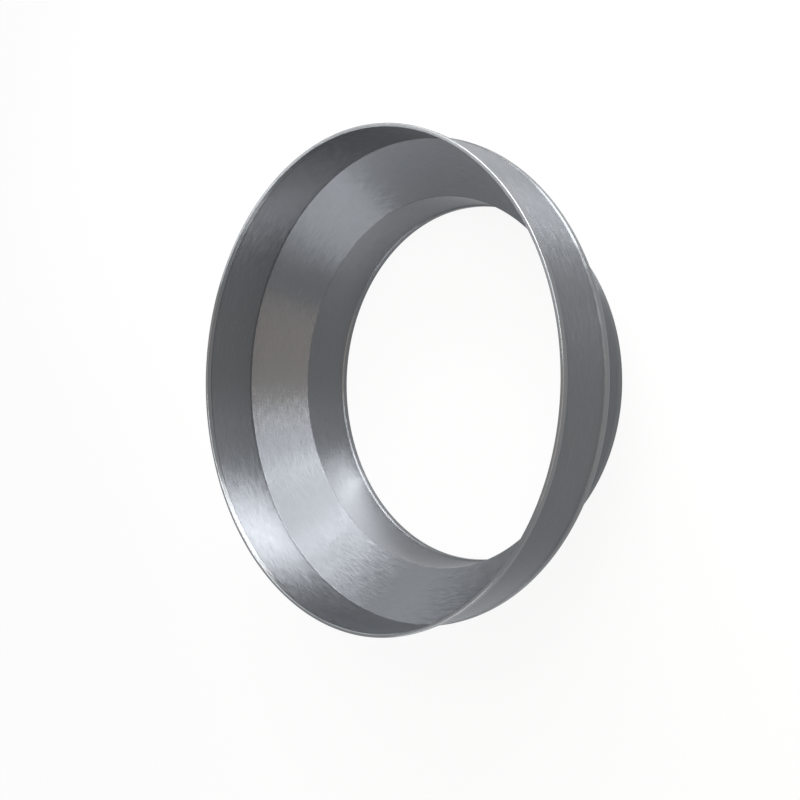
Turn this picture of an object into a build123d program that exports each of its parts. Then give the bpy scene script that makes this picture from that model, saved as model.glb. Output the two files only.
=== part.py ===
from build123d import *
import os
from math import atan2, cos, degrees, tan

# A conical pipe reducer, spun as one piece from one sheet of metal.
# A wide collar, a cone and a narrow collar share one thin wall.
# Each mouth ends in a lip that stands proud of the wall on both sides,
# and a bead runs around the outside where the cone turns into the wide collar.
# The axis is +Z. The narrow mouth stands on z = 0 and the wide mouth opens upwards.

# Diameters over the outside of the two lips
wide_diameter = 250.0
narrow_diameter = 199.0

# Heights along the axis, between the corners on the inside of the sheet
wide_collar_height = 33.1
cone_height = 23.4
narrow_collar_height = 31.9

# Thickness of the sheet, and how far it lies below the outside of each lip
wall = 0.4
wide_set_back = 0.75
narrow_set_back = 0.1

# Section of a lip: the thickness of each, the depth of both from the mouth to the end
# of the land, the taper from there to the wall, and the chamfers on the mouth's edges
wide_lip_thickness = 1.8
narrow_lip_thickness = 1.2
lip_depth = 2.7
lip_taper = 0.9
lip_chamfer = 0.35

# Just before the cone, the wide collar flares out to the bottom of a shallow groove
flare_length = 1.8
flare_depth = 0.5

# Bead around the outside, as heights above and below the corner inside the sheet:
# its front foot, the front and back of its crest and its back foot, and its rounding
bead_front = 1.9
bead_crest_front = 0.9
bead_crest_back = 2.2
bead_back = 3.7
bead_radius = 1.7

# Inside radius of the bend between the cone and the narrow collar
throat_radius = 1.0

# Heights of the bends and of the wide mouth
throat_z = narrow_collar_height
shoulder_z = throat_z + cone_height
height = shoulder_z + wide_collar_height

# Radii of the two collars and of the inside corner of the shoulder
wide_outer = wide_diameter / 2 - wide_set_back
wide_inner = wide_outer - wall
narrow_outer = narrow_diameter / 2 - narrow_set_back
narrow_inner = narrow_outer - wall
shoulder_inner = wide_inner + flare_depth

# Slope of the cone, and the radius of its outside at the back foot of the bead
cone_angle = atan2(shoulder_inner - narrow_inner, cone_height)
cone_outer = shoulder_inner + wall / cos(cone_angle) - bead_back * tan(cone_angle)

with BuildPart() as reducer:
    with BuildSketch(Plane.XZ) as section:
        # The inside of the sheet from lip to lip, given its thickness outwards
        with BuildLine():
            FilletPolyline(
                (narrow_inner, lip_depth),
                (narrow_inner, throat_z),
                (shoulder_inner, shoulder_z),
                radius=throat_radius,
            )
            Polyline(
                (shoulder_inner, shoulder_z),
                (wide_inner, shoulder_z + flare_length),
                (wide_inner, height - lip_depth),
            )
            offset(amount=wall, side=Side.RIGHT, kind=Kind.INTERSECTION)
        make_face()

        # The bead, from its front foot on the collar over the crest to the cone,
        # and back through the middle of the sheet
        with BuildLine():
            Line(
                (wide_outer, shoulder_z + bead_front),
                (wide_diameter / 2, shoulder_z + bead_crest_front),
            )
            FilletPolyline(
                (wide_diameter / 2, shoulder_z + bead_crest_front),
                (wide_diameter / 2, shoulder_z - bead_crest_back),
                (cone_outer, shoulder_z - bead_back),
                radius=bead_radius,
            )
            Polyline(
                (cone_outer, shoulder_z - bead_back),
                (shoulder_inner, shoulder_z),
                (wide_outer - wall / 2, shoulder_z + bead_front),
                (wide_outer, shoulder_z + bead_front),
            )
        make_face()

        # The two lips: the radius of their outside and their thickness, the wall outside,
        # the height of the mouth and the way from the mouth into the part
        for side_out, thickness, wall_out, mouth_z, inwards in (
            (narrow_diameter / 2, narrow_lip_thickness, narrow_outer, 0, 1),
            (wide_diameter / 2, wide_lip_thickness, wide_outer, height, -1),
        ):
            side_in = side_out - thickness
            edge_z = mouth_z + inwards * lip_chamfer
            land_z = mouth_z + inwards * lip_depth
            taper_z = land_z + inwards * lip_taper
            with BuildLine():
                Polyline(
                    (side_out - lip_chamfer, mouth_z),
                    (side_out, edge_z),
                    (side_out, land_z),
                    (wall_out, taper_z),
                    (wall_out - wall, taper_z),
                    (side_in, land_z),
                    (side_in, edge_z),
                    (side_in + lip_chamfer, mouth_z),
                    close=True,
                )
            make_face()
    revolve(axis=Axis.Z)

reducer.part.label = "reducer_shell"

print("height", round(height, 3), "cone half angle", round(degrees(cone_angle), 2))
print("solids", len(reducer.part.solids()), "volume", round(reducer.part.volume, 1))

os.makedirs("parts", exist_ok=True)
export_step(reducer.part, "parts/reducer_shell.step")
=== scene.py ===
# %% [markdown]
# # A spun sheet-metal pipe reducer
# A pipe reducer joins a wide pipe to a narrow one. This one is a single thin wall: a wide
# collar, a cone and a narrow collar, with a thicker lip at each mouth and a bead where the
# wide collar turns into the cone. It is brushed around its axis and shines softly. It stands
# on its narrow mouth, and the camera looks down into the wide one.
#
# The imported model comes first, as a fixed frame. Every size below is in metres in that frame.

# %% Load the frame
import bpy
from math import atan2, cos, degrees, hypot, pi, radians, sin, tan
from mathutils import Matrix, Vector


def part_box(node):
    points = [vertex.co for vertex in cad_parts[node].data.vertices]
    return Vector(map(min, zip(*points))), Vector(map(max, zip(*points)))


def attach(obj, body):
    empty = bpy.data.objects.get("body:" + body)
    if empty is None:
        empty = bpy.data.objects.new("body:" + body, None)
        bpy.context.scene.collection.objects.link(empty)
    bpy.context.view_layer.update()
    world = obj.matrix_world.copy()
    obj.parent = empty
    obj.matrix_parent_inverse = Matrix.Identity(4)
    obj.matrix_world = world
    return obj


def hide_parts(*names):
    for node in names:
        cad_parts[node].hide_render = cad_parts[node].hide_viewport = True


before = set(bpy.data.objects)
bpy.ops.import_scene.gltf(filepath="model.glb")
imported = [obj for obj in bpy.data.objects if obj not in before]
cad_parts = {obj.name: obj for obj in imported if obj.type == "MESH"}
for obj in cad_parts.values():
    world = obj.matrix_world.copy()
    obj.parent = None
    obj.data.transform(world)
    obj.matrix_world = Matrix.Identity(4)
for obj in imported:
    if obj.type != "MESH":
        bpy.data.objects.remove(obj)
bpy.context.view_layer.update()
low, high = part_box("reducer_shell")
height = high.z
wide_radius = high.x
print("box from", [round(v, 4) for v in low], "to", [round(v, 4) for v in high])
print("wide mouth radius", round(wide_radius, 4), "height", round(height, 4))

# %% [markdown]
# ## The camera
# The photograph was taken from less than four radii away, with a normal lens. A lens can be
# guessed by eye, but how much smaller the farther mouth looks than the nearer one tells it
# better. It is written here as a number of pixels, as it came out of a fit to both mouths.

# %% Choose the lens
picture_pixels = 800
focal_pixels = 927.3
sensor_width = 36.0

camera_data = bpy.data.cameras.new("camera")
camera_data.sensor_width = sensor_width
camera_data.lens = focal_pixels * sensor_width / picture_pixels
camera_data.clip_start = 0.01
camera = bpy.data.objects.new("camera", camera_data)
bpy.context.scene.collection.objects.link(camera)
bpy.context.scene.camera = camera
print("lens", round(camera_data.lens, 2), "mm")

# %% [markdown]
# The part's axis runs across the picture, so in the part's own frame, where that axis is
# upright, the camera leans over and its right-hand side points down. Its place is given in
# wide-mouth radii from the centre of the wide rim, because that is how a picture is measured.
# A camera could also be placed by eye, but one that is worked out from a few numbers can be
# fitted to the rims of both mouths, to within a fraction of a pixel.

# %% Place the camera
view_turn = 0.7676
rim_across = -0.1952
rim_down = -0.0751
rim_away = 3.6635

turn_sin = sin(view_turn)
turn_cos = cos(view_turn)
camera_place = Vector((
    rim_down * wide_radius,
    (rim_across * turn_cos - rim_away * turn_sin) * wide_radius,
    height + (rim_across * turn_sin + rim_away * turn_cos) * wide_radius,
))
camera_right = Vector((0, -turn_cos, -turn_sin))
camera_up = Vector((1, 0, 0))
camera_back = Vector((0, -turn_sin, turn_cos))
camera_axes = Matrix((camera_right, camera_up, camera_back)).transposed()
camera.matrix_world = Matrix.Translation(camera_place) @ camera_axes.to_4x4()
print("camera at", [round(v, 3) for v in camera_place])

# %% [markdown]
# ## The section of the sheet
# A spun part is one section turned about one axis, so the section holds the whole shape.
# On the real part the sheet is pressed over a form as it spins, and its edges are rolled.
# Here the section is written down as a closed row of corners. Each corner has a radius, a
# height and the radius of its rounding, so a soft lip and a crisp bend differ in one number.
# A drawn outline would look the same, but its sizes couldn't be read or changed.
#
# The wall comes first: its thickness, how far each collar lies inside its lip, and the
# heights of the throat and of the shoulder, where a shallow groove ends the wide collar.

# %% Sizes of the wall
wall = 0.0004
wide_set_back = 0.00075
narrow_set_back = 0.0001
narrow_radius = 0.0995
wide_collar_height = 0.0331
cone_height = 0.0234
flare_length = 0.0018
flare_depth = 0.0005

wide_outer = wide_radius - wide_set_back
wide_inner = wide_outer - wall
narrow_outer = narrow_radius - narrow_set_back
narrow_inner = narrow_outer - wall
shoulder_inner = wide_inner + flare_depth
shoulder_z = height - wide_collar_height
throat_z = shoulder_z - cone_height
cone_angle = atan2(shoulder_inner - narrow_inner, cone_height)
print("throat at", round(throat_z, 4), "shoulder at", round(shoulder_z, 4))
print("cone half angle", round(degrees(cone_angle), 1))

# %% [markdown]
# The lips are the two places where the sheet is thicker. Each has a flat front, a short land
# inside and outside, and a taper down to the wall, so one small recipe serves both mouths.
# The two edges of its front are rounded by a share of its thickness.

# %% Corners of a lip
wide_lip_thickness = 0.0018
narrow_lip_thickness = 0.0012
lip_depth = 0.0027
lip_taper = 0.0009
lip_edge_share = 0.3
lip_land_rounding = 0.0004
lip_foot_rounding = 0.0006


def lip(radius, thickness, wall_out, mouth, inwards):
    """Corners of a lip, from the inside of the wall over the mouth to the outside."""
    land = mouth + inwards * lip_depth
    wall_end = land + inwards * lip_taper
    edge = thickness * lip_edge_share
    return [
        (wall_out - wall, wall_end, lip_foot_rounding),
        (radius - thickness, land, lip_land_rounding),
        (radius - thickness, mouth, edge),
        (radius, mouth, edge),
        (radius, land, lip_land_rounding),
        (wall_out, wall_end, lip_foot_rounding),
    ]


narrow_lip = lip(narrow_radius, narrow_lip_thickness, narrow_outer, 0, 1)
wide_lip = lip(wide_radius, wide_lip_thickness, wide_outer, height, -1)
print("corners of one lip", len(wide_lip))

# %% [markdown]
# The bead is a ring pressed outwards where the cone meets the wide collar. It stiffens the
# part there. Its corners are its front foot on the collar, the front and the back of its
# crest, and its back foot on the cone, by their heights above and below the shoulder. It is
# round at the back and crisper at the front, as the photograph shows in its highlights.

# %% Corners of the bead
bead_front = 0.0019
bead_crest_front = 0.0009
bead_crest_back = 0.0022
bead_back = 0.0037
bead_front_rounding = 0.0008
bead_back_rounding = 0.0017
bead_foot_rounding = 0.0005

cone_outer = shoulder_inner + wall / cos(cone_angle) - bead_back * tan(cone_angle)
bead = [
    (wide_outer, shoulder_z + bead_front, bead_foot_rounding),
    (wide_radius, shoulder_z + bead_crest_front, bead_front_rounding),
    (wide_radius, shoulder_z - bead_crest_back, bead_back_rounding),
    (cone_outer, shoulder_z - bead_back, bead_foot_rounding),
]
print("corners of the bead", len(bead), "radius of its back foot", round(cone_outer, 5))

# %% [markdown]
# The whole section then runs up the inside, over the wide lip, down the outside along the
# bead and the cone, and back to the narrow lip. The throat is a gentle bend, and the
# shoulder a sharp one.

# %% Corners of the whole section
throat_rounding = 0.001
throat_outer_rounding = 0.0005
shoulder_rounding = 0.0003
flare_rounding = 0.0008

inside = [
    (narrow_inner, throat_z, throat_rounding),
    (shoulder_inner, shoulder_z, shoulder_rounding),
    (wide_inner, shoulder_z + flare_length, flare_rounding),
]
throat_outer_z = throat_z - wall * tan(cone_angle / 2)
throat_outside = (narrow_outer, throat_outer_z, throat_outer_rounding)
corners = narrow_lip[::-1] + inside + wide_lip + bead + [throat_outside]
print("corners of the section", len(corners))

# %% [markdown]
# No edge or bend of rolled sheet is quite sharp. Each corner is replaced by the arc that
# touches the two runs beside it. Where a run is too short for two whole arcs, each takes a
# little less than half of it. A bevel on the turned mesh could round the corners too, but it
# would need a weight on every ring of edges to give each its own radius.

# %% Round the corners
arc_steps = 6
largest_share = 0.48


def rounded(row):
    """The closed row as points, with an arc at each corner."""
    points = []
    for before, corner, after in zip(row[-1:] + row[:-1], row, row[1:] + row[:1]):
        here = Vector(corner[:2])
        to_before = Vector(before[:2]) - here
        to_after = Vector(after[:2]) - here
        half_turn = (pi - to_before.angle(to_after)) / 2
        room = min(to_before.length, to_after.length) * largest_share
        reach = min(corner[2] * tan(half_turn), room)
        start = here + to_before.normalized() * reach
        end = here + to_after.normalized() * reach
        weight = cos(half_turn)
        for i in range(arc_steps + 1):
            t = i / arc_steps
            a, b, c = (1 - t) ** 2, 2 * t * (1 - t) * weight, t ** 2
            points.append((start * a + here * b + end * c) / (a + b + c))
    return points


arcs = rounded(corners)
print("points of the rounded section", len(arcs))

# %% [markdown]
# A smooth surface shades from point to point, so a long straight run between two roundings
# would seem to bow. Two more points close to its ends keep all of that bending inside the
# roundings, and the collars and the cone stay truly straight.

# %% Support the straight runs
support = 0.0004


def with_supports(points):
    """The closed line, with a point near both ends of each run."""
    full = []
    for here, after in zip(points, points[1:] + points[:1]):
        full.append(here)
        length = (after - here).length
        if length > 4 * support:
            full.append(here.lerp(after, support / length))
            full.append(here.lerp(after, 1 - support / length))
    return full


section = with_supports(arcs)
print("points of the section", len(section))

# %% [markdown]
# The lips and the bead are where hands, clamps and other parts rub, so they're polished
# smoother than the wall. They are also given a brighter colour, a painted highlight of their
# rounded edges. Each point of the section carries both as one number: 1 on the wide lip and
# the bead, half on the narrow lip and 0 elsewhere. The lathe passes it on to the mesh, where
# the metal reads it. A mask painted by hand would do the same, but not follow when a size is
# changed.

# %% Mark the polished places, which also get a painted highlight
bead_rise = 0.0002


# the mask for the smoother polish and the painted highlight of the lips and the bead
def polish_and_highlight_at(point):
    """1 for a point of the wide lip or the bead, half as much on the narrow lip, else 0."""
    if point.y < lip_depth + lip_taper:
        return 0.5
    on_lip = point.y > height - lip_depth - lip_taper
    on_bead = point.x > wide_outer + bead_rise
    return 1.0 if on_lip or on_bead else 0.0


polish_and_highlight_values = [polish_and_highlight_at(point) for point in section]
print("points that are rubbed", sum(value > 0 for value in polish_and_highlight_values))

# %% [markdown]
# ## The lathe
# A lathe is the plainest rule there is: one section, carried around one circle. The screw
# modifier could do it too, but a small node tree shows the rule as it is. The section goes
# in as a ring of points measured from the wide mouth's radius, the tree sweeps it along a
# circle of that radius, and the number of steps around is an input, so the roundness is set
# in one place.
#
# Two helpers keep all the node trees short: one sets an input or links it, and the other adds
# a node with some of its inputs.


# %% Helpers for nodes
def plug(tree, node, name, value):
    """Link a socket into an input, or set the input's own value."""
    if isinstance(value, bpy.types.NodeSocket):
        tree.links.new(value, node.inputs[name])
    else:
        node.inputs[name].default_value = value


def add(tree, kind, **inputs):
    """A new node with some of its inputs set or linked."""
    node = tree.nodes.new(kind)
    for name, value in inputs.items():
        plug(tree, node, name.replace("_", " "), value)
    return node


print("two helpers for nodes")

# %% [markdown]
# Sums and ranges are what a material needs most often, so they have a helper each. Both give
# back the result's socket, which can go straight into the next sum.


# %% Helpers for sums and ranges
def sum_node(tree, operation, a, b=None):
    """A Math node's result, from one or two numbers or sockets."""
    node = tree.nodes.new("ShaderNodeMath")
    node.operation = operation
    for index, value in enumerate((a, b)):
        if value is not None:
            plug(tree, node, index, value)
    return node.outputs[0]


def mapped(tree, value, from_low, from_high, to_low, to_high):
    """A Map Range node's result."""
    node = add(tree, "ShaderNodeMapRange", Value=value)
    ends = {"From Min": from_low, "From Max": from_high, "To Min": to_low, "To Max": to_high}
    for name, number in ends.items():
        plug(tree, node, name, number)
    return node.outputs[0]


print("two helpers for sums and ranges")

# %% [markdown]
# The tree takes the section, and has its sizes and its metal as named inputs.

# %% Inputs of the lathe
lathe = bpy.data.node_groups.new("lathe", "GeometryNodeTree")
lathe.is_modifier = True
face = lathe.interface
face.new_socket("Section", in_out="INPUT", socket_type="NodeSocketGeometry")
steps_in = face.new_socket("Steps around", in_out="INPUT", socket_type="NodeSocketInt")
radius_in = face.new_socket("Mouth radius", in_out="INPUT", socket_type="NodeSocketFloat")
metal_in = face.new_socket("Metal", in_out="INPUT", socket_type="NodeSocketMaterial")
face.new_socket("Shell", in_out="OUTPUT", socket_type="NodeSocketGeometry")
print("lathe sockets", [socket.name for socket in face.items_tree])

# %% [markdown]
# Inside the tree, the ring of points becomes a curve, the circle becomes the path, and the
# sweep joins them. The result is shaded smooth, made real and given its metal.

# %% Nodes of the lathe
given = lathe.nodes.new("NodeGroupInput").outputs
ring = add(lathe, "GeometryNodeMeshToCurve", Mesh=given["Section"])
path = add(
    lathe,
    "GeometryNodeCurvePrimitiveCircle",
    Resolution=given["Steps around"],
    Radius=given["Mouth radius"],
)
sweep = add(
    lathe,
    "GeometryNodeCurveToMesh",
    Curve=path.outputs[0],
    Profile_Curve=ring.outputs[0],
)
smooth = add(lathe, "GeometryNodeSetShadeSmooth", Geometry=sweep.outputs[0])
real = add(lathe, "GeometryNodeRealizeInstances", Geometry=smooth.outputs[0])
coated = add(
    lathe,
    "GeometryNodeSetMaterial",
    Geometry=real.outputs[0],
    Material=given["Metal"],
)
result = lathe.nodes.new("NodeGroupOutput")
lathe.links.new(coated.outputs[0], result.inputs["Shell"])
print("lathe nodes", [node.bl_idname[12:] for node in lathe.nodes])

# %% [markdown]
# ## The metal
# The sheet is steel with a satin finish brushed around the axis, as it comes off the lathe
# when an abrasive is held against it. Such a finish smears each reflection across the
# scratches, which here means along the wall, so a lamp turns into a straight band that runs
# from mouth to mouth.
#
# The scratches are noise, stretched until it is long around the axis and very fine across.
# It is laid out by direction around the axis, and by height and radius together across it,
# so that it runs over the collars and the cone alike. A picture of brushed metal would show
# its seams and couldn't follow the cone.

# %% Where a point lies on the turned part
steel = bpy.data.materials.new("brushed_steel")
steel.use_nodes = True
metal = steel.node_tree
shader = metal.nodes["Principled BSDF"]

place = metal.nodes.new("ShaderNodeTexCoord").outputs["Object"]
x, y, z = add(metal, "ShaderNodeSeparateXYZ", Vector=place).outputs
x_squared = sum_node(metal, "MULTIPLY", x, x)
y_squared = sum_node(metal, "MULTIPLY", y, y)
from_axis = sum_node(metal, "SQRT", sum_node(metal, "ADD", x_squared, y_squared))
unit_x = sum_node(metal, "DIVIDE", x, from_axis)
unit_y = sum_node(metal, "DIVIDE", y, from_axis)
along = sum_node(metal, "ADD", z, from_axis)
print("place nodes", len(metal.nodes))

# %% [markdown]
# Two brushings lie over each other. The fine one is the single scratches, a third of a
# millimetre apart. The coarse one is the uneven pressure of the hand, which leaves the
# metal a little darker and more tilted in some lanes than in others. Such noise seldom leaves
# the range from 0.2 to 0.8, so that is the range that is mapped onto each property.

# %% Lay out the brushing
detail = 3.0
noise_low = 0.2
noise_high = 0.8


def brushing(around, across, name):
    """Noise with so many waves around the axis and so many to the metre across."""
    lane = metal.nodes.new("ShaderNodeCombineXYZ")
    plug(metal, lane, "X", sum_node(metal, "MULTIPLY", unit_x, around))
    plug(metal, lane, "Y", sum_node(metal, "MULTIPLY", unit_y, around))
    plug(metal, lane, "Z", sum_node(metal, "MULTIPLY", along, across))
    noise = add(metal, "ShaderNodeTexNoise", Vector=lane.outputs[0], Scale=1.0, Detail=detail)
    noise.label = name
    return noise.outputs["Fac"]


def spread(value, low_end, high_end):
    """A noise, mapped onto a range."""
    return mapped(metal, value, noise_low, noise_high, low_end, high_end)


scratches = brushing(26.0, 3200.0, "scratches")
streaks = brushing(18.0, 1500.0, "streaks")
print("brushing nodes", len(metal.nodes))

# %% [markdown]
# Colour and roughness are both mixed of two ends. A Mix node keeps a pair of inputs and a
# result for each kind of value, so the helper has to know their places in the node.

# %% Helper for a mix
first_ends = {"FLOAT": 2, "RGBA": 6}
results = {"FLOAT": 0, "RGBA": 2}


def blended(kind, first, second, factor):
    """Two numbers (FLOAT) or two colours (RGBA), mixed by a factor."""
    node = metal.nodes.new("ShaderNodeMix")
    node.data_type = kind
    plug(metal, node, 0, factor)
    plug(metal, node, first_ends[kind], first)
    plug(metal, node, first_ends[kind] + 1, second)
    return node.outputs[results[kind]]


print("kinds of mix", list(results))

# %% [markdown]
# On the lips and the bead, the roughness goes over to the smoother metal of a polished edge,
# and the colour goes over to a brighter one, a painted highlight. Polishing is never even, so
# the brushing lets both vary a little.

# %% Find how polished the metal is, and how much painted highlight it gets
# reads the mask of polish and painted highlight
polished_and_highlighted = add(metal, "ShaderNodeAttribute")
polished_and_highlighted.attribute_name = "polish_and_highlight"
both = sum_node(metal, "MULTIPLY", sum_node(metal, "ADD", scratches, streaks), 0.5)
polish_and_highlight_amount = sum_node(metal, "MULTIPLY", polished_and_highlighted.outputs["Fac"], spread(both, 0.7, 1.0))
print("nodes with the wear", len(metal.nodes))

# %% [markdown]
# The colour only varies a little, since clean steel has one colour, and the roughness follows
# the scratches. The steel is a cool grey, as in the photograph, and dark enough that white
# surroundings leave it as deep as the photograph shows it on the left.

# %% Mix the metal
dull_steel = (0.102, 0.108, 0.117, 1.0)
light_steel = (0.142, 0.149, 0.160, 1.0)
# painted highlight: a brighter steel colour for the lips and the bead
painted_highlight_steel = (0.175, 0.181, 0.188, 1.0)
smoothest = 0.28
roughest = 0.50
rubbed_roughness = 0.30
brushed_color = blended("RGBA", dull_steel, light_steel, spread(both, 0.0, 1.0))
# the painted highlight colour goes over the brushed colour where the mask says
color = blended("RGBA", brushed_color, painted_highlight_steel, polish_and_highlight_amount)
brushed_roughness = spread(scratches, smoothest, roughest)
roughness = blended("FLOAT", brushed_roughness, rubbed_roughness, polish_and_highlight_amount)
plug(metal, shader, "Base Color", color)
plug(metal, shader, "Metallic", 1.0)
plug(metal, shader, "Roughness", roughness)
print("nodes of the metal", len(metal.nodes))

# %% [markdown]
# The shader needs to know which way the scratches run. The tangent is a direction along the
# wall, and one that circles the axis is made by a Tangent node set to Radial. A quarter turn
# of it makes the smear lie across the scratches.

# %% Point the brushing around the axis
tangent = metal.nodes.new("ShaderNodeTangent")
tangent.direction_type = "RADIAL"
tangent.axis = "Z"
plug(metal, shader, "Tangent", tangent.outputs[0])
plug(metal, shader, "Anisotropic", 0.95)
plug(metal, shader, "Anisotropic Rotation", 0.25)
print("tangent", tangent.direction_type, tangent.axis)

# %% [markdown]
# No scratch is quite level. Each tips the surface a little to one side or the other around
# the axis, so where a reflection ends, its edge breaks up into short dashes. A bump can't do
# this, since the scratches are so much longer than they are wide that all of its slope lies
# across them. So the normal is leaned along the tangent by the coarse brushing, and the bump
# only adds the fine relief across.

# %% Lean the normal
most_lean = 0.06
scratch_depth = 0.00003
lean = spread(streaks, -most_lean, most_lean)
backward = sum_node(metal, "MULTIPLY", unit_y, -1.0)
around = metal.nodes.new("ShaderNodeCombineXYZ")
plug(metal, around, "X", sum_node(metal, "MULTIPLY", backward, lean))
plug(metal, around, "Y", sum_node(metal, "MULTIPLY", unit_x, lean))
bump = add(metal, "ShaderNodeBump", Strength=0.05, Distance=scratch_depth, Height=scratches)
leaned = metal.nodes.new("ShaderNodeVectorMath")
leaned.operation = "ADD"
plug(metal, leaned, 0, bump.outputs[0])
plug(metal, leaned, 1, around.outputs[0])
normal = metal.nodes.new("ShaderNodeVectorMath")
normal.operation = "NORMALIZE"
plug(metal, normal, 0, leaned.outputs[0])
plug(metal, shader, "Normal", normal.outputs[0])
print("nodes with the lean", len(metal.nodes))

# %% [markdown]
# ## Turning the shell
# The section becomes a ring of edges, measured from the circle that it will be swept along.
# How much each point is polished and given the painted highlight goes in with it, as an
# attribute.

# %% Make the section a ring
section_mesh = bpy.data.meshes.new("section")
ring_points = [(point.x - wide_radius, -point.y, 0) for point in section]
ring_edges = [(i, (i + 1) % len(ring_points)) for i in range(len(ring_points))]
section_mesh.from_pydata(ring_points, ring_edges, [])
# the mask of polish and painted highlight, as an attribute of the section
polish_and_highlight = section_mesh.attributes.new("polish_and_highlight", "FLOAT", "POINT")
polish_and_highlight.data.foreach_set("value", polish_and_highlight_values)
section_object = bpy.data.objects.new("section", section_mesh)
bpy.context.scene.collection.objects.link(section_object)
print("ring of", len(ring_edges), "edges")

# %% [markdown]
# The lathe turns the ring, and the result is kept as a plain mesh. Four hundred steps around
# leave facets of two millimetres, which smooth shading hides even along the rim. The lathe's
# inputs are set before it first runs.

# %% Turn the shell
steps_around = 400
turning = section_object.modifiers.new("lathe", "NODES")
turning.node_group = lathe
turning[steps_in.identifier] = steps_around
turning[radius_in.identifier] = wide_radius
turning[metal_in.identifier] = steel
bpy.context.view_layer.update()
turned = section_object.evaluated_get(bpy.context.evaluated_depsgraph_get())
shell_mesh = bpy.data.meshes.new_from_object(turned)
shell_mesh.name = "reducer"
section_object.modifiers.remove(turning)
bpy.data.objects.remove(section_object)
shell = bpy.data.objects.new("reducer", shell_mesh)
bpy.context.scene.collection.objects.link(shell)
print("faces", len(shell_mesh.polygons), "attributes", [a.name for a in shell_mesh.attributes])

# %% [markdown]
# A closed surface has a volume, and its sign tells whether the faces look outwards. The real
# sheet is metal all through, so the volume also gives its weight, from that of a cubic metre
# of steel in kilograms.

# %% Measure the shell
steel_density = 7850
volume = 0.0
shell_mesh.calc_loop_triangles()
for triangle in shell_mesh.loop_triangles:
    a, b, c = (shell_mesh.vertices[i].co for i in triangle.vertices)
    volume += a.dot(b.cross(c)) / 6
if volume < 0:
    shell_mesh.flip_normals()
heights = [vertex.co.z for vertex in shell_mesh.vertices]
reaches = [hypot(vertex.co.x, vertex.co.y) for vertex in shell_mesh.vertices]
print("triangles", len(shell_mesh.loop_triangles), "volume", round(abs(volume) * 1e9))
print("weight", round(abs(volume) * steel_density, 3), "kg")
print("heights", round(min(heights), 5), round(max(heights), 5))
print("radii", round(min(reaches), 5), round(max(reaches), 5))

# %% [markdown]
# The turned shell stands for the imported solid, which has the same section but plainer lips.
# The part is one piece, so it rides on the one body there is.

# %% Put the shell in the frame
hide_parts("reducer_shell")
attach(shell, "root")
print("the shell stands for reducer_shell")

# %% [markdown]
# ## The floor
# The photograph is cut out on white. Here the floor under the narrow mouth is the background,
# since the camera looks down on it. To the camera and in the metal it counts as white by its
# own colour, so no lamp has to be turned up for it. Near the part, a small share of it stays
# an ordinary pale surface, so that it keeps the shadow. Farther away that share fades out, and
# the floor's far edge is lost in the white room. A white card lit by more lamps would be the
# other way, but those lamps would bleach the part as well.


# %% Helpers for backgrounds
def new_tree(owner):
    """The owner's node tree, emptied."""
    owner.use_nodes = True
    owner.node_tree.nodes.clear()
    return owner.node_tree


def counts_as_white(tree):
    """1 for the rays that see the background: from the camera, off gloss and through glass."""
    rays = tree.nodes.new("ShaderNodeLightPath").outputs
    bounced = sum_node(tree, "ADD", rays["Is Glossy Ray"], rays["Is Transmission Ray"])
    all_rays = sum_node(tree, "ADD", rays["Is Camera Ray"], bounced)
    return sum_node(tree, "MINIMUM", all_rays, 1.0)


print("two helpers for backgrounds")

# %% [markdown]
# The floor itself is one square face, and it isn't part of the product.

# %% Lay the floor
reach = 12 * wide_radius
floor_mesh = bpy.data.meshes.new("floor")
floor_corners = [(-reach, -reach, 0), (reach, -reach, 0), (reach, reach, 0), (-reach, reach, 0)]
floor_mesh.from_pydata(floor_corners, [], [(0, 1, 2, 3)])
floor = bpy.data.objects.new("floor", floor_mesh)
bpy.context.scene.collection.objects.link(floor)
floor_paint = bpy.data.materials.new("floor_paint")
floor_mesh.materials.append(floor_paint)
print("floor", round(2 * reach, 2), "m wide")

# %% [markdown]
# Its paint is a blend of a glow of strength 1, which is plain white, and a pale matt paint.
# To the camera and in the metal, the share of the glow is nine tenths within three mouth
# radii of the axis, and grows to the whole at eight. All other light meets the matt paint.

# %% Paint the floor
glow_share_near = 0.9
near = 3 * wide_radius
far = 8 * wide_radius
paint_tree = new_tree(floor_paint)
spot = paint_tree.nodes.new("ShaderNodeTexCoord").outputs["Object"]
away = add(paint_tree, "ShaderNodeVectorMath", Vector=spot)
away.operation = "LENGTH"
glow_share = mapped(paint_tree, away.outputs["Value"], near, far, glow_share_near, 1.0)
share = sum_node(paint_tree, "MULTIPLY", counts_as_white(paint_tree), glow_share)
paint = add(paint_tree, "ShaderNodeBsdfDiffuse", Color=(0.5, 0.5, 0.5, 1))
glow = add(paint_tree, "ShaderNodeEmission", Color=(1, 1, 1, 1), Strength=1.0)
blend = paint_tree.nodes.new("ShaderNodeMixShader")
plug(paint_tree, blend, 0, share)
plug(paint_tree, blend, 1, paint.outputs[0])
plug(paint_tree, blend, 2, glow.outputs[0])
add(paint_tree, "ShaderNodeOutputMaterial", Surface=blend.outputs[0])
print("floor paint of", len(paint_tree.nodes), "nodes")

# %% [markdown]
# ## The surroundings
# The room is white to the camera and to the metal, and a plain, weaker light for everything
# else, so that the lamps can still shape the floor's shadow.

# %% Light the room
world = bpy.data.worlds.new("studio")
bpy.context.scene.world = world
room = new_tree(world)
plain_strength = 0.5
extra = sum_node(room, "MULTIPLY", counts_as_white(room), 1.0 - plain_strength)
strength = sum_node(room, "ADD", extra, plain_strength)
background = add(room, "ShaderNodeBackground", Color=(1, 1, 1, 1), Strength=strength)
add(room, "ShaderNodeOutputWorld", Surface=background.outputs[0])
print("room nodes", len(room.nodes))

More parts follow.
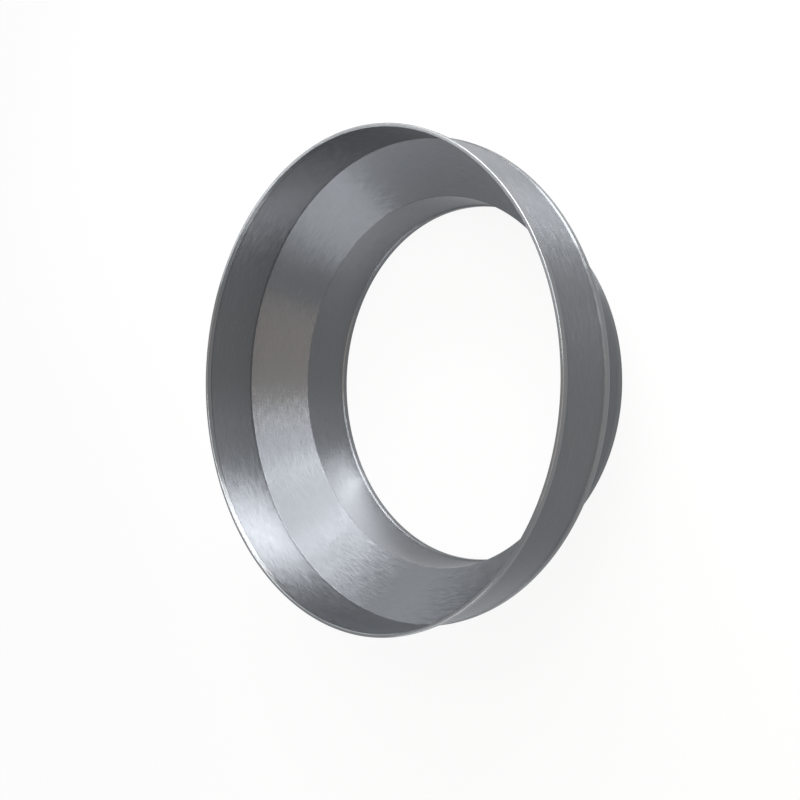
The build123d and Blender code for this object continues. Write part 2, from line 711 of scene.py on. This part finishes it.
# %% [markdown]
# ## The lamps
# The bright zone at the lower left of the photograph runs over both collars and the cone at
# one and the same place around the axis. So the main light comes from one side, broad, like a
# window: its reflection lies where the wall faces halfway between it and the camera. Weaker
# softboxes around the part give the other tones of the cone, and a warm one its left side.
#
# The collars stand upright, so from the camera's side they mirror the floor inside the narrow
# mouth, and where they shine in the photograph, light comes up from there. Three small panels
# low inside the mouth do this. One of them has a narrow beam, so that it only meets the wide
# collar. No lamp shows to the camera.
#
# Every lamp is a rectangle with lengths in wide-mouth radii. Its brightness is given as a
# radiance, where 1 is white, and its power follows from its size. With a power of its own,
# a lamp would look darker each time it is made larger.


# %% Helper for a lamp
def lamp_panel(name, place, toward, width, tall, radiance, color=(1, 1, 1)):
    """A rectangular lamp at a place, with its back to the given direction."""
    data = bpy.data.lights.new(name, "AREA")
    data.shape = "RECTANGLE"
    data.size = width * wide_radius
    data.size_y = tall * wide_radius
    data.energy = radiance * pi * data.size * data.size_y
    data.color = color
    lamp = bpy.data.objects.new(name, data)
    side = Vector((0, 0, 1)).cross(toward)
    side = side.normalized() if side.length > 0.001 else Vector((1, 0, 0))
    axes = Matrix((side, toward.cross(side), toward)).transposed()
    lamp.matrix_world = Matrix.Translation(place * wide_radius) @ axes.to_4x4()
    lamp.visible_camera = False
    bpy.context.scene.collection.objects.link(lamp)
    print(name, round(data.energy, 3), "W at", [round(v, 3) for v in lamp.location])


print("one helper for a lamp")

# %% [markdown]
# Lamps are placed in two ways. A softbox stands off in a direction and faces the middle of
# the part, as one on a stand does. A floor panel has a place and a direction of its own.


# %% Helpers for placing lamps
def softbox(name, azimuth, elevation, distance, width, tall, radiance, color=(1, 1, 1)):
    """A panel that faces the middle of the part, from an azimuth and elevation in degrees."""
    a, e = radians(azimuth), radians(elevation)
    toward = Vector((cos(a) * cos(e), sin(a) * cos(e), sin(e)))
    middle = Vector((0, 0, height / 2 / wide_radius))
    lamp_panel(name, middle + toward * distance, toward, width, tall, radiance, color)


def floor_glow(name, place, aim, side, radiance, beam=180):
    """A square panel low inside the narrow mouth, with a beam of so many degrees."""
    back = -Vector(aim).normalized()
    lamp_panel(name, Vector(place), back, side, side, radiance)
    bpy.data.lights[name].spread = radians(beam)


print("two helpers for placing lamps")

# %% [markdown]
# Each lamp was found from the photograph: the tone at a place of the wall says how bright the
# room is in the direction that the wall mirrors there. A softbox is given by azimuth,
# elevation and distance, then width, height and radiance. A floor panel is given by its place,
# the direction that it shines in, its side and its radiance.

# %% Set the lamps
softbox("window", -20, 32, 5, 4.0, 1.8, 17)
softbox("low window", -30, 12, 5, 2.0, 1.8, 9)
softbox("side", 11, 33, 5, 2.0, 1.8, 8.5)
softbox("edge", 31, 34, 5, 2.0, 1.8, 4.5)
softbox("fill", 60, 28, 5, 2.2, 2.2, 3.6)
softbox("back", 170, 31, 5, 3.6, 1.8, 4.8)
softbox("ceiling", -50, 55, 5, 2.4, 1.8, 11)
softbox("warm", -105, 52, 5, 4.5, 1.6, 3.4, (1.0, 0.78, 0.58))
softbox("over the rim", 52, 38, 1.15, 0.5, 0.4, 5)
floor_glow("glow left", (-0.32, 0.51, 0.002), (0, 0, 1), 0.21, 9)
floor_glow("glow top", (0.22, 0.39, 0.002), (0, 0, 1), 0.2, 2)
floor_glow("beam", (0, 0.57, 0.11), (-0.68, 0.13, 0.5), 0.24, 2.0, 50)

# %% [markdown]
# ## The end
# The picture is shown as it is measured, with no film look.

# %% Finish
bpy.context.scene.view_settings.view_transform = "Standard"
